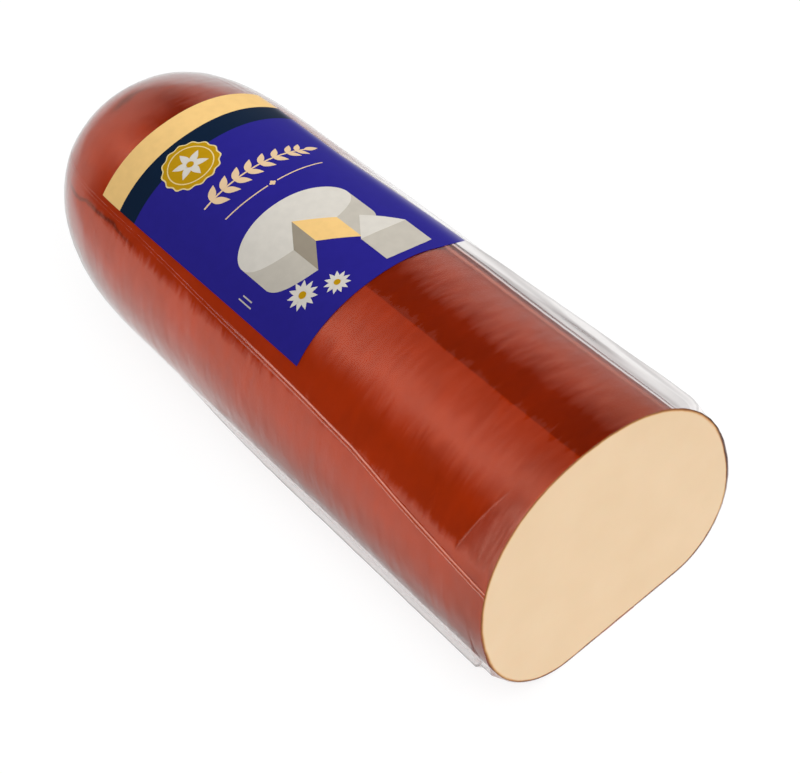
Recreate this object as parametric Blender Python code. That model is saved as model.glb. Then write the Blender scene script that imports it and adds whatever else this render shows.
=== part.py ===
"""A log of smoked goat cheese, cut across, in clear shrink film with a paper label.

The log lies along X, its cut face towards +X and its rounded end towards -X.
The origin is on the plane that the pack rests on, under the middle of its length.
"""
import math

import bmesh
import bpy

# Driving dimensions of the log, in metres
LENGTH = 0.272  # cut face to rounded end, over the film
WIDTH = 0.100
HEIGHT = 0.085
WIDEST_HEIGHT = 0.034
BASE_WIDTH = 0.046  # flat strip that the log lies on
CROWN_FULLNESS = 2.17  # superellipse powers: 2 is a plain ellipse, more is squarer
FLANK_FULLNESS = 2.08

# The rounded end
END_LENGTH = 0.081
END_FULLNESS = 3.65
END_HEIGHT = 0.056  # height of its foremost point

# Skins over the cheese
CLEARANCE = 0.0003  # between one skin and the next
FILM_THICKNESS = 0.0003
LABEL_THICKNESS = 0.0003

# The label on the crown
LABEL_FROM_CUT = 0.103
LABEL_LENGTH = 0.122
LABEL_LEFT_TURN = math.radians(-41.5)
LABEL_RIGHT_TURN_NEAR = math.radians(41)  # at the end nearer the cut
LABEL_RIGHT_TURN_FAR = math.radians(44.5)

# The film hangs loose from two lengthwise crests, which stand off the log
RIGHT_CREST_TURN_AT_CUT = math.radians(53)
RIGHT_CREST_TURN_NEAR = math.radians(43)  # beside the label's end nearer the cut
RIGHT_CREST_TURN_FAR = math.radians(45.5)
RIGHT_CREST_HEIGHT_AT_CUT = 0.0026
RIGHT_CREST_HEIGHT = 0.0031
RIGHT_CREST_RISEN = 0.045  # behind the cut, where it has its full height
RIGHT_CREST_SINKS = 0.085
RIGHT_CREST_END = 0.175
LEFT_CREST_TURN = math.radians(-108)
LEFT_CREST_HEIGHT = 0.0026
LEFT_CREST_START = 0.006  # behind the cut, where the film is trimmed
LEFT_CREST_SINKS = 0.090
LEFT_CREST_END = 0.180

# Gentle unevenness of the log
SWELL = 0.0005
SWELL_WAVELENGTH = 0.19

# Fineness
TURN_STEPS = 60
RIGHT_CREST_STEP = 38  # nominally at a turn of 48 degrees
WIDEST_CONTACT = math.radians(70)  # a flank's contact is sought this far from its crest
HALVINGS = 30
END_STEPS = 10
LABEL_ROWS = 10
LABEL_COLUMNS = 20

HALF_WIDTH = WIDTH / 2
HALF_BASE = BASE_WIDTH / 2
CUT_X = LENGTH / 2
FILM_IN = CLEARANCE
FILM_OUT = FILM_IN + FILM_THICKNESS
LABEL_IN = FILM_OUT + CLEARANCE
LABEL_OUT = LABEL_IN + LABEL_THICKNESS
BASE_LIFT = FILM_OUT
END_START_X = END_LENGTH - CUT_X

# Distances behind the cut where the straight part has a ring of points
RING_DISTANCES = (
    0.0, LEFT_CREST_START, 0.020, RIGHT_CREST_RISEN, 0.065, RIGHT_CREST_SINKS,
    LABEL_FROM_CUT, 0.120, 0.137, 0.156, RIGHT_CREST_END,
)


def section_point(turn):
    """Return (y, z) on the cheese's outline, above its own base.

    The turn is 0 at the crown, a quarter turn at the widest line and a half turn at the
    edge of the flat base.
    """
    across = abs(math.sin(turn))
    up = math.cos(turn)
    if up >= 0:
        y = HALF_WIDTH * across ** (2 / CROWN_FULLNESS)
        z = WIDEST_HEIGHT + (HEIGHT - WIDEST_HEIGHT) * up ** (2 / CROWN_FULLNESS)
    else:
        y = HALF_BASE + (HALF_WIDTH - HALF_BASE) * across ** (2 / FLANK_FULLNESS)
        z = WIDEST_HEIGHT * (1 - (-up) ** (2 / FLANK_FULLNESS))
    return math.copysign(y, turn), z


def section_normal(turn):
    """Return the outline's unit normal (y, z), pointing out of the cheese."""
    step = 0.01
    before = max(turn - step, -math.pi)
    after = min(turn + step, math.pi)
    y_before, z_before = section_point(before)
    y_after, z_after = section_point(after)
    run = math.hypot(y_after - y_before, z_after - z_before)
    return (z_before - z_after) / run, (y_after - y_before) / run


def swell(x, turn):
    """Return how far the log stands out from its even outline.

    It is none at the cut and at the flat base, and the rounded end keeps what its start has.
    """
    phase = math.tau * (max(x, END_START_X) - CUT_X) / SWELL_WAVELENGTH
    freedom = (1 + math.cos(turn)) / 2
    return SWELL * freedom * math.sin(phase) * math.cos(2 * turn + phase / 2)


def ramp(value, start, end):
    """Return 0 up to the start, 1 from the end on, and an even rise between."""
    return min(max((value - start) / (end - start), 0.0), 1.0)


def left_crest(x):
    """Return the turn and the height of the film's low left crest."""
    behind = CUT_X - x
    if behind < LEFT_CREST_START:
        return LEFT_CREST_TURN, 0.0
    return LEFT_CREST_TURN, LEFT_CREST_HEIGHT * (1 - ramp(behind, LEFT_CREST_SINKS, LEFT_CREST_END) ** 2)


def right_crest(x):
    """Return the turn and the height of the film's right crest, which slants up to the label's edge."""
    behind = CUT_X - x
    turn = RIGHT_CREST_TURN_AT_CUT
    turn += (RIGHT_CREST_TURN_NEAR - RIGHT_CREST_TURN_AT_CUT) * ramp(behind, 0.0, LABEL_FROM_CUT)
    label_end = LABEL_FROM_CUT + LABEL_LENGTH
    turn += (RIGHT_CREST_TURN_FAR - RIGHT_CREST_TURN_NEAR) * ramp(behind, LABEL_FROM_CUT, label_end)
    risen = ramp(behind, 0.0, RIGHT_CREST_RISEN)
    height = RIGHT_CREST_HEIGHT_AT_CUT + (RIGHT_CREST_HEIGHT - RIGHT_CREST_HEIGHT_AT_CUT) * risen
    return turn, height * (1 - ramp(behind, RIGHT_CREST_SINKS, RIGHT_CREST_END))


def contact_turn(tip, tip_turn, direction):
    """Return the turn where film drawn straight from a crest's tip meets the log."""
    near, far = tip_turn, tip_turn + direction * WIDEST_CONTACT
    for _ in range(HALVINGS):
        middle = (near + far) / 2
        y, z = section_point(middle)
        normal_y, normal_z = section_normal(middle)
        if normal_y * (tip[0] - y) + normal_z * (tip[1] - z) > 0:
            near = middle
        else:
            far = middle
    return near


def lift(x, turn):
    """Return how far the film stands off the log along the log's normal."""
    crest_turn, height = right_crest(x) if turn > 0 else left_crest(x)
    if height <= 0:
        return 0.0
    tip_y, tip_z = section_point(crest_turn)
    normal_y, normal_z = section_normal(crest_turn)
    tip = (tip_y + normal_y * height, tip_z + normal_z * height)
    direction = 1 if turn > crest_turn else -1
    contact = contact_turn(tip, crest_turn, direction)
    if (turn - contact) * direction >= 0:
        return 0.0
    y, z = section_point(turn)
    contact_y, contact_z = section_point(contact)
    flank_y, flank_z = contact_z - tip[1], tip[0] - contact_y
    normal_y, normal_z = section_normal(turn)
    return ((tip[0] - y) * flank_y + (tip[1] - z) * flank_z) / (normal_y * flank_y + normal_z * flank_z)


def skin_point(x, turn, distance, loose):
    """Return (y, z) of a skin that lies the given distance outside the cheese."""
    y, z = section_point(turn)
    normal_y, normal_z = section_normal(turn)
    offset = distance + swell(x, turn)
    if loose:
        offset += lift(x, turn)
    return y + normal_y * offset, z + normal_z * offset


def end_station(share):
    """Return (run, scale) along the rounded end: both follow one superellipse."""
    angle = share * math.pi / 2
    power = 2 / END_FULLNESS
    return math.sin(angle) ** power, max(math.cos(angle), 0.0) ** power


def ring_turns(x):
    """Return the turns of one ring of points, from the base's left edge to its right.

    One point of each ring is moved to lie on the right crest, and its neighbours to halfway.
    """
    turns = [math.pi * (2 * step / TURN_STEPS - 1) for step in range(TURN_STEPS + 1)]
    turns[RIGHT_CREST_STEP] = right_crest(x)[0]
    turns[RIGHT_CREST_STEP - 1] = (turns[RIGHT_CREST_STEP - 2] + turns[RIGHT_CREST_STEP]) / 2
    turns[RIGHT_CREST_STEP + 1] = (turns[RIGHT_CREST_STEP] + turns[RIGHT_CREST_STEP + 2]) / 2
    return turns


def placed(x, y, z, scale=1.0):
    """Return a 3-D point, drawn in towards the rounded end's axis by the scale."""
    drawn_z = END_HEIGHT + (z - END_HEIGHT) * scale
    return x, y * scale, drawn_z + BASE_LIFT


def log_rings(distance, loose):
    """Return the rings of a log-shaped skin and the point that closes its rounded end."""
    rings = []
    for behind in RING_DISTANCES:
        x = CUT_X - behind
        rings.append([placed(x, *skin_point(x, turn, distance, loose)) for turn in ring_turns(x)])
    outline = [skin_point(END_START_X, turn, distance, loose) for turn in ring_turns(END_START_X)]
    for step in range(END_STEPS):
        run, scale = end_station(step / END_STEPS)
        x = END_START_X - (END_LENGTH - FILM_OUT + distance) * run
        rings.append([placed(x, y, z, scale) for y, z in outline])
    tip = (END_START_X - (END_LENGTH - FILM_OUT + distance), 0.0, END_HEIGHT + BASE_LIFT)
    return rings, tip


def add_rings(mesh, rings):
    """Add the rings' points to a mesh under construction."""
    return [[mesh.verts.new(point) for point in ring] for ring in rings]


def bridge(mesh, rings, closed):
    """Join neighbouring rings with faces; a closed ring's last point meets its first."""
    for ring, following in zip(rings, rings[1:]):
        count = len(ring)
        for index in range(count if closed else count - 1):
            after = (index + 1) % count
            mesh.faces.new((ring[index], ring[after], following[after], following[index]))


def close_end(mesh, ring, tip_vertex):
    """Close the rounded end with a fan of triangles."""
    for index, vertex in enumerate(ring):
        mesh.faces.new((vertex, ring[(index + 1) % len(ring)], tip_vertex))


def principled(name, colour, roughness, alpha=1.0):
    """Return a plain material of one colour."""
    material = bpy.data.materials.new(name)
    material.use_nodes = True
    shader = material.node_tree.nodes["Principled BSDF"]
    shader.inputs["Base Color"].default_value = (*colour, 1.0)
    shader.inputs["Roughness"].default_value = roughness
    shader.inputs["Metallic"].default_value = 0.0
    shader.inputs["Alpha"].default_value = alpha
    return material


def finish_object(name, mesh, materials, sharp_degrees):
    """Turn the mesh under construction into a smooth-shaded object in the scene."""
    bmesh.ops.recalc_face_normals(mesh, faces=mesh.faces)
    bmesh.ops.triangulate(mesh, faces=mesh.faces, quad_method="FIXED")
    data = bpy.data.meshes.new(name)
    mesh.to_mesh(data)
    mesh.free()
    for material in materials:
        data.materials.append(material)
    data.shade_smooth()
    data.set_sharp_from_angle(angle=math.radians(sharp_degrees))
    piece = bpy.data.objects.new(name, data)
    bpy.context.collection.objects.link(piece)
    return piece


def make_cheese():
    """The cheese is one solid, its smoked rind included."""
    mesh = bmesh.new()
    points, tip = log_rings(0.0, loose=False)
    rings = add_rings(mesh, points)
    bridge(mesh, rings, closed=True)
    close_end(mesh, rings[-1], mesh.verts.new(tip))
    cut_face = mesh.faces.new(rings[0])
    cut_face.material_index = 1
    rind = principled("smoked_rind", (0.24, 0.035, 0.010), 0.30)
    paste = principled("pale_cheese", (0.84, 0.62, 0.40), 0.55)
    return finish_object("cheese", mesh, (rind, paste), 40)


def make_film():
    """The film is a thin sleeve, open at the cut and closed over the rounded end."""
    mesh = bmesh.new()
    inner_points, inner_tip = log_rings(FILM_IN, loose=True)
    outer_points, outer_tip = log_rings(FILM_OUT, loose=True)
    inner = add_rings(mesh, inner_points)
    outer = add_rings(mesh, outer_points)
    bridge(mesh, inner, closed=True)
    bridge(mesh, outer, closed=True)
    close_end(mesh, inner[-1], mesh.verts.new(inner_tip))
    close_end(mesh, outer[-1], mesh.verts.new(outer_tip))
    bridge(mesh, [inner[0], outer[0]], closed=True)
    film = principled("clear_film", (0.95, 0.95, 0.95), 0.08, alpha=0.25)
    return finish_object("film", mesh, (film,), 30)


def label_sheet(distance):
    """Return rows of points across the label, at one distance from the cheese."""
    rows = []
    for row in range(LABEL_ROWS + 1):
        x = CUT_X - LABEL_FROM_CUT - LABEL_LENGTH * row / LABEL_ROWS
        drawn_in = max((END_START_X - x) / END_LENGTH, 0.0)
        scale = (1 - drawn_in ** END_FULLNESS) ** (1 / END_FULLNESS)
        right_turn = LABEL_RIGHT_TURN_NEAR + (LABEL_RIGHT_TURN_FAR - LABEL_RIGHT_TURN_NEAR) * row / LABEL_ROWS
        points = []
        for column in range(LABEL_COLUMNS + 1):
            turn = LABEL_LEFT_TURN + (right_turn - LABEL_LEFT_TURN) * column / LABEL_COLUMNS
            points.append(placed(x, *skin_point(x, turn, distance, loose=True), scale))
        rows.append(points)
    return rows


def make_label():
    """The label is a thin curved sheet on the film, over the crown."""
    mesh = bmesh.new()
    under = add_rings(mesh, label_sheet(LABEL_IN))
    over = add_rings(mesh, label_sheet(LABEL_OUT))
    bridge(mesh, under, closed=False)
    bridge(mesh, over, closed=False)
    bridge(mesh, [under[0], over[0]], closed=False)
    bridge(mesh, [under[-1], over[-1]], closed=False)
    for edge in (0, -1):
        bridge(mesh, [[row[edge] for row in under], [row[edge] for row in over]], closed=False)
    paper = principled("label_paper", (0.026, 0.019, 0.25), 0.45)
    return finish_object("label", mesh, (paper,), 30)


def clear_scene():
    """Remove whatever the open file holds."""
    for piece in list(bpy.data.objects):
        bpy.data.objects.remove(piece, do_unlink=True)


clear_scene()
make_cheese()
make_film()
make_label()
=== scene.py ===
"""The looks of a cut log of smoked goat cheese in clear shrink film with a paper label.

The log lies along X with its cut face towards +X. All lengths are in metres.
"""
import math

import bmesh
import bpy
import numpy as np
from mathutils import Matrix, Vector


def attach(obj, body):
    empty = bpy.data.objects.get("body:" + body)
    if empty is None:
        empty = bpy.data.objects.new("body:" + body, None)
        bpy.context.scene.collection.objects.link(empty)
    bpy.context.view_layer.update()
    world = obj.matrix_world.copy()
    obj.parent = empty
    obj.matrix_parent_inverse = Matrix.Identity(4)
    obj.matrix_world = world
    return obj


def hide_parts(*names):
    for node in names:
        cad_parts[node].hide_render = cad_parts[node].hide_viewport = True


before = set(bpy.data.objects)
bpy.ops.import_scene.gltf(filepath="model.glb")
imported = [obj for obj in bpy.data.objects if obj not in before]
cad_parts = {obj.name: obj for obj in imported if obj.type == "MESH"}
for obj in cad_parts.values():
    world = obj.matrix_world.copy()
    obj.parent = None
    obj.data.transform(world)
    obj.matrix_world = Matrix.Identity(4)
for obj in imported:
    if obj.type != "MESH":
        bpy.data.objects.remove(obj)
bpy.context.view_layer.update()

# Driving dimensions, as in the solids
LENGTH = 0.272
WIDTH = 0.100
HEIGHT = 0.085
WIDEST_HEIGHT = 0.034
BASE_WIDTH = 0.046
CROWN_FULLNESS = 2.17
FLANK_FULLNESS = 2.08
END_LENGTH = 0.081
END_FULLNESS = 3.65
END_HEIGHT = 0.056
LABEL_FROM_CUT = 0.103
LABEL_LENGTH = 0.122
LABEL_LEFT_TURN = math.radians(-41.5)
LABEL_RIGHT_TURN_NEAR = math.radians(42.2)
LABEL_RIGHT_TURN_FAR = math.radians(44.5)
RIGHT_CREST_TURN_AT_CUT = math.radians(53)
RIGHT_CREST_TURN_NEAR = math.radians(43)
RIGHT_CREST_TURN_FAR = math.radians(45.5)
RIGHT_CREST_HEIGHT_AT_CUT = 0.0024
RIGHT_CREST_HEIGHT = 0.0029
RIGHT_CREST_RISEN = 0.045
RIGHT_CREST_SINKS = 0.085
RIGHT_CREST_END = 0.175
LEFT_CREST_TURN = math.radians(-108)
LEFT_CREST_HEIGHT = 0.0026
LEFT_CREST_START = 0.006
LEFT_CREST_SINKS = 0.090
LEFT_CREST_END = 0.180
SWELL = 0.0005
SWELL_WAVELENGTH = 0.19
BASE_LIFT = 0.00046  # the cheese's base above the floor
OUTER_SKIN = 0.0006  # the solids' outermost film surface, outside the cheese
CORNER_LENGTH = 0.0045  # the right crest's rounded corner at the cut
WIDEST_CONTACT = math.radians(70)  # a flank's contact is sought this far from its crest
HALVINGS = 30
NO_HEIGHT = 1e-6

HALF_WIDTH = WIDTH / 2
HALF_BASE = BASE_WIDTH / 2
CUT_X = LENGTH / 2
STRAIGHT_LENGTH = LENGTH - END_LENGTH

# Skins of the visual model, as distances outside the cheese's solid
CHEESE_SKIN = 0.00014
FILM_SKIN = 0.00027
FILM_THICKNESS = 0.00012
LABEL_SKIN = 0.00045
LABEL_THICKNESS = 0.00016
INK_HEIGHT = 0.00004

# Camera, fitted to the photograph of 800 by 774 pixels
IMAGE_WIDTH = 800
SENSOR_WIDTH = 36.0
FOCAL_PIXELS = 1853
CAMERA_AZIMUTH = math.radians(65.01)
CAMERA_ELEVATION = math.radians(47.64)
CAMERA_ROLL = math.radians(-17.74)
CAMERA_DISTANCE = 0.6172
CAMERA_TARGET = Vector((0.0401, -0.0054, 0.0431))

random = np.random.default_rng(7)


def section_points(turn):
    """Return y and z on the cheese's outline for an array of turns from the crown."""
    across = np.abs(np.sin(turn))
    up = np.cos(turn)
    crown = 2 / CROWN_FULLNESS
    flank = 2 / FLANK_FULLNESS
    upper_y = HALF_WIDTH * across ** crown
    upper_z = WIDEST_HEIGHT + (HEIGHT - WIDEST_HEIGHT) * np.clip(up, 0, 1) ** crown
    lower_y = HALF_BASE + (HALF_WIDTH - HALF_BASE) * across ** flank
    lower_z = WIDEST_HEIGHT * (1 - np.clip(-up, 0, 1) ** flank)
    y = np.where(up >= 0, upper_y, lower_y)
    z = np.where(up >= 0, upper_z, lower_z)
    return np.copysign(y, turn), z


def section_normals(turn):
    """Return the outline's unit normals, pointing out of the cheese."""
    step = 0.01
    y_before, z_before = section_points(np.maximum(turn - step, -math.pi))
    y_after, z_after = section_points(np.minimum(turn + step, math.pi))
    run = np.hypot(y_after - y_before, z_after - z_before)
    return (z_before - z_after) / run, (y_after - y_before) / run


def swell(behind, turn):
    """Return how far the log stands out from its even outline."""
    phase = -math.tau * np.minimum(behind, STRAIGHT_LENGTH) / SWELL_WAVELENGTH
    freedom = (1 + np.cos(turn)) / 2
    return SWELL * freedom * np.sin(phase) * np.cos(2 * turn + phase / 2)


def ramp(value, start, end):
    """Return 0 up to the start, 1 from the end on, and an even rise between."""
    return np.clip((value - start) / (end - start), 0, 1)


def left_crest_height(behind):
    """Return the height of the film's low left crest."""
    height = LEFT_CREST_HEIGHT * (1 - ramp(behind, LEFT_CREST_SINKS, LEFT_CREST_END) ** 2)
    trimmed = 0.45 + 0.55 * smooth(behind, LEFT_CREST_START - 0.0004, LEFT_CREST_START + 0.0004)
    return height * trimmed


def right_crest_turn(behind):
    """Return the turn of the film's right crest, which slants up to the label's edge."""
    to_label = ramp(behind, 0.0, LABEL_FROM_CUT)
    along_label = ramp(behind, LABEL_FROM_CUT, LABEL_FROM_CUT + LABEL_LENGTH)
    turn = RIGHT_CREST_TURN_AT_CUT + (RIGHT_CREST_TURN_NEAR - RIGHT_CREST_TURN_AT_CUT) * to_label
    return turn + (RIGHT_CREST_TURN_FAR - RIGHT_CREST_TURN_NEAR) * along_label


def right_crest_height(behind):
    """Return the height of the film's right crest, with a rounded corner at the cut."""
    risen = ramp(behind, 0.0, RIGHT_CREST_RISEN)
    height = RIGHT_CREST_HEIGHT_AT_CUT + (RIGHT_CREST_HEIGHT - RIGHT_CREST_HEIGHT_AT_CUT) * risen
    corner = np.sqrt(1 - (1 - ramp(behind, 0.0, CORNER_LENGTH)) ** 2)
    return height * corner * (1 - ramp(behind, RIGHT_CREST_SINKS, RIGHT_CREST_END))


def crest_tips(crest_turn, height):
    """Return y and z at the top of a crest."""
    y, z = section_points(crest_turn)
    normal_y, normal_z = section_normals(crest_turn)
    return y + normal_y * height, z + normal_z * height


def contact_turns(tip_y, tip_z, crest_turn, direction):
    """Return the turns where film drawn straight from a crest's tip meets the log."""
    near = crest_turn
    far = near + direction * WIDEST_CONTACT
    for _ in range(HALVINGS):
        middle = (near + far) / 2
        y, z = section_points(middle)
        normal_y, normal_z = section_normals(middle)
        above = normal_y * (tip_y - y) + normal_z * (tip_z - z) > 0
        near = np.where(above, middle, near)
        far = np.where(above, far, middle)
    return near


def flank_lift(turn, crest_turn, height, direction):
    """Return how far one flank of a crest stands off the log along the log's normal."""
    tip_y, tip_z = crest_tips(crest_turn, height)
    contact = contact_turns(tip_y, tip_z, crest_turn, direction)
    contact_y, contact_z = section_points(contact)
    flank_y, flank_z = contact_z - tip_z, tip_y - contact_y
    y, z = section_points(turn)
    normal_y, normal_z = section_normals(turn)
    facing = normal_y * flank_y + normal_z * flank_z
    facing = np.where(np.abs(facing) < 1e-9, 1.0, facing)
    offset = ((tip_y - y) * flank_y + (tip_z - z) * flank_z) / facing
    on_flank = ((turn - crest_turn) * direction >= 0) & ((contact - turn) * direction > 0)
    return np.where(on_flank & (height > NO_HEIGHT), offset, 0.0)


def lift(behind, turn):
    """Return how far the film stands off the log: straight from each crest to where it meets the log."""
    behind, turn = np.broadcast_arrays(behind, turn)
    crests = (
        (right_crest_turn(behind), right_crest_height(behind)),
        (LEFT_CREST_TURN + 0 * behind, left_crest_height(behind)),
    )
    right, left = (np.maximum(*(flank_lift(turn, crest, height, direction) for direction in (-1, 1)))
                   for crest, height in crests)
    return np.where(turn > 0, right, left)


def skin(behind, turn, distance, loose):
    """Return points of a skin outside the cheese, for arrays of places behind the cut and turns.

    Places further behind the cut than the straight part lie on the rounded end.
    """
    y, z = section_points(turn)
    normal_y, normal_z = section_normals(turn)
    offset = distance + swell(behind, turn)
    if loose:
        offset = offset + lift(behind, turn)
    y = y + normal_y * offset
    z = z + normal_z * offset
    run = np.clip((behind - STRAIGHT_LENGTH) / END_LENGTH, 0, 1)
    scale = (1 - run ** END_FULLNESS) ** (1 / END_FULLNESS)
    x = CUT_X - behind - (distance - OUTER_SKIN) * run
    return np.stack([x, y * scale, END_HEIGHT + (z - END_HEIGHT) * scale + BASE_LIFT], axis=-1)


def length_rows(spacing, end_steps):
    """Return places behind the cut, even along the straight part and closer at the tip."""
    straight = np.linspace(0, STRAIGHT_LENGTH, round(STRAIGHT_LENGTH / spacing) + 1)
    angles = np.linspace(0, math.pi / 2, end_steps + 1)[1:-1]
    return np.concatenate([straight, STRAIGHT_LENGTH + END_LENGTH * np.sin(angles) ** (2 / END_FULLNESS)])


def end_tip(distance):
    """Return the point that closes a skin's rounded end."""
    return np.array([-CUT_X - (distance - OUTER_SKIN), 0.0, END_HEIGHT + BASE_LIFT])


def grid_normals(points, closed):
    """Return unit normals of a grid of points, pointing away from the log."""
    along = np.gradient(points, axis=0)
    if closed:
        around = np.roll(points, -1, axis=1) - np.roll(points, 1, axis=1)
    else:
        around = np.gradient(points, axis=1)
    normals = np.cross(around, along)
    return normals / np.maximum(np.linalg.norm(normals, axis=2, keepdims=True), 1e-12)


def plane_waves(wavelength_along, wavelength_around, count=16):
    """Return random plane waves: numbers along and around, and a phase, for each."""
    direction = random.uniform(0, math.pi, count)
    stretch = random.uniform(0.6, 1.6, count)
    phase = random.uniform(0, math.tau, count)
    along = math.tau * np.cos(direction) * stretch / wavelength_along
    around = math.tau * np.sin(direction) * stretch / wavelength_around
    return np.stack([along, around, phase], axis=1)


def wavy(waves, behind, around):
    """Return the even, random field of about unit size that plane waves make."""
    field = np.zeros(np.broadcast(behind, around).shape)
    for along_number, around_number, phase in waves:
        field += np.sin(along_number * behind + around_number * around + phase)
    return field / math.sqrt(len(waves) / 2)


BROAD_WAVES = plane_waves(0.034, 0.030)
CLING_WAVES = plane_waves(0.0042, 0.016, count=24)
SLACK_WAVES = plane_waves(0.009, 0.014)
STREAK_WAVES = plane_waves(0.070, 0.0045)
BROAD_HEIGHT = 0.00006
CLING_HEIGHT = 0.000022


def cling_relief(behind, turn):
    """Return the unevenness that the rind and the film clinging to it share."""
    around = turn * HALF_WIDTH
    relief = BROAD_HEIGHT * wavy(BROAD_WAVES, behind, around)
    relief = relief + CLING_HEIGHT * wavy(CLING_WAVES, behind, around)
    return relief * smooth(behind, 0.0, 0.006) * (1 + np.cos(turn)) / 2


def smooth(value, start, end):
    """Return 0 before start, 1 after end, and a smooth rise between."""
    share = np.clip((value - start) / (end - start), 0, 1)
    return share * share * (3 - 2 * share)


def fade(value, start, end):
    """Return 1 before start, 0 after end, and a smooth fall between."""
    return 1 - smooth(value, start, end)


def ridge(distance, half_width):
    """Return 1 on a line and a bell-shaped fall on both sides of it."""
    return np.exp(-(distance / half_width) ** 2)


def lean_table():
    """Return leans of the surface, in degrees from facing straight up, and their turns."""
    turns = np.linspace(-2.9, 2.9, 1201)
    normal_y, normal_z = section_normals(turns)
    return np.degrees(np.arctan2(normal_y, normal_z)), turns


LEANS, LEAN_TURNS = lean_table()


def turn_at(lean):
    """Return the turn where the surface leans by so many degrees to the right."""
    return np.interp(lean, LEANS, LEAN_TURNS)


def lean_at(turn):
    """Return how many degrees the surface leans to the right at a turn."""
    return np.interp(turn, LEAN_TURNS, LEANS)


def grid_faces(rows, columns, closed, first=0, flip=False):
    """Return the quads of a grid whose points are numbered row by row."""
    faces = []
    for row in range(rows - 1):
        for column in range(columns if closed else columns - 1):
            after = (column + 1) % columns
            corner = first + row * columns
            quad = (corner + column, corner + column + columns, corner + after + columns, corner + after)
            faces.append(quad[::-1] if flip else quad)
    return faces


def fan_faces(first, columns, tip, flip=False):
    """Return the triangles that close a ring of points with one more point."""
    faces = []
    for column in range(columns):
        corners = (first + column, tip, first + (column + 1) % columns)
        faces.append(corners[::-1] if flip else corners)
    return faces


def rim_faces(columns, second):
    """Return the quads between the first ring of points and one that starts at the second number."""
    faces = []
    for column in range(columns):
        after = (column + 1) % columns
        faces.append((column, after, second + after, second + column))
    return faces


def make_piece(name, points, faces, materials, sharp_degrees):
    """Return a smooth-shaded object that rides on the root body."""
    data = bpy.data.meshes.new(name)
    data.from_pydata([tuple(point) for point in points], [], faces)
    data.update()
    for material in materials:
        data.materials.append(material)
    data.shade_smooth()
    data.set_sharp_from_angle(angle=math.radians(sharp_degrees))
    piece = bpy.data.objects.new(name, data)
    bpy.context.scene.collection.objects.link(piece)
    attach(piece, "root")
    return piece


def new_material(name):
    """Return an empty node material and its node tree."""
    material = bpy.data.materials.new(name)
    material.use_nodes = True
    material.node_tree.nodes.clear()
    return material, material.node_tree


def add_node(tree, kind, inputs=None, **settings):
    """Add a node; inputs maps socket names or numbers to values or to other sockets."""
    node = tree.nodes.new("ShaderNode" + kind)
    for key, value in settings.items():
        setattr(node, key, value)
    for socket, value in (inputs or {}).items():
        if isinstance(value, bpy.types.NodeSocket):
            tree.links.new(value, node.inputs[socket])
        else:
            node.inputs[socket].default_value = value
    return node


def noise_field(tree, coordinates, scale, detail=2.0, roughness=0.5, distortion=0.0):
    """Return the value socket of a noise texture."""
    node = add_node(tree, "TexNoise", {
        "Vector": coordinates, "Scale": scale, "Detail": detail,
        "Roughness": roughness, "Distortion": distortion,
    })
    return node.outputs["Fac"]


def stretched(tree, factors):
    """Return object coordinates, multiplied along each axis."""
    place = add_node(tree, "TexCoord").outputs["Object"]
    return add_node(tree, "Mapping", {"Vector": place, "Scale": factors}).outputs["Vector"]


def colour_ramp(tree, value, stops):
    """Return the colour socket of a ramp with stops of (position, colour)."""
    node = add_node(tree, "ValToRGB", {"Fac": value})
    ramp = node.color_ramp
    while len(ramp.elements) < len(stops):
        ramp.elements.new(0.5)
    for element, (position, colour) in zip(ramp.elements, stops):
        element.position = position
        element.color = (*colour, 1.0)
    return node.outputs["Color"]


def ranged(tree, value, low, high, to_low=0.0, to_high=1.0, smooth_step=False):
    """Return a value mapped from one range to another, held at its ends."""
    kind = "SMOOTHSTEP" if smooth_step else "LINEAR"
    node = add_node(tree, "MapRange", {
        "Value": value, "From Min": low, "From Max": high, "To Min": to_low, "To Max": to_high,
    }, interpolation_type=kind)
    return node.outputs["Result"]


def spread(tree, noise, low, high):
    """Return a noise value spread over a range. Most of a noise texture lies between 0.3 and 0.7."""
    return ranged(tree, noise, 0.3, 0.7, low, high)


def maths(tree, operation, first, second=0.0):
    """Return the result of one arithmetic operation."""
    return add_node(tree, "Math", {0: first, 1: second}, operation=operation).outputs["Value"]


def mixed(tree, share, first, second, blend="MIX"):
    """Return a blend of two colours."""
    colours = {"Factor": share, "A": first, "B": second}
    node = add_node(tree, "Mix", colours, data_type="RGBA", blend_type=blend)
    return node.outputs["Result"]


def product(tree, first, *others):
    """Return the product of several values."""
    for other in others:
        first = maths(tree, "MULTIPLY", first, other)
    return first


def plus(tree, first, second):
    """Return the sum of two values."""
    return maths(tree, "ADD", first, second)


def minus(tree, first, second):
    """Return one value less another."""
    return maths(tree, "SUBTRACT", first, second)


def tinted(tree, colour, tone):
    """Return a colour multiplied by a grey of the given tone."""
    return mixed(tree, 1.0, colour, grey(tree, tone), "MULTIPLY")


def bump(tree, height, strength, distance):
    """Return a normal bent by a height field."""
    inputs = {"Height": height, "Strength": strength, "Distance": distance}
    return add_node(tree, "Bump", inputs).outputs["Normal"]


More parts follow.
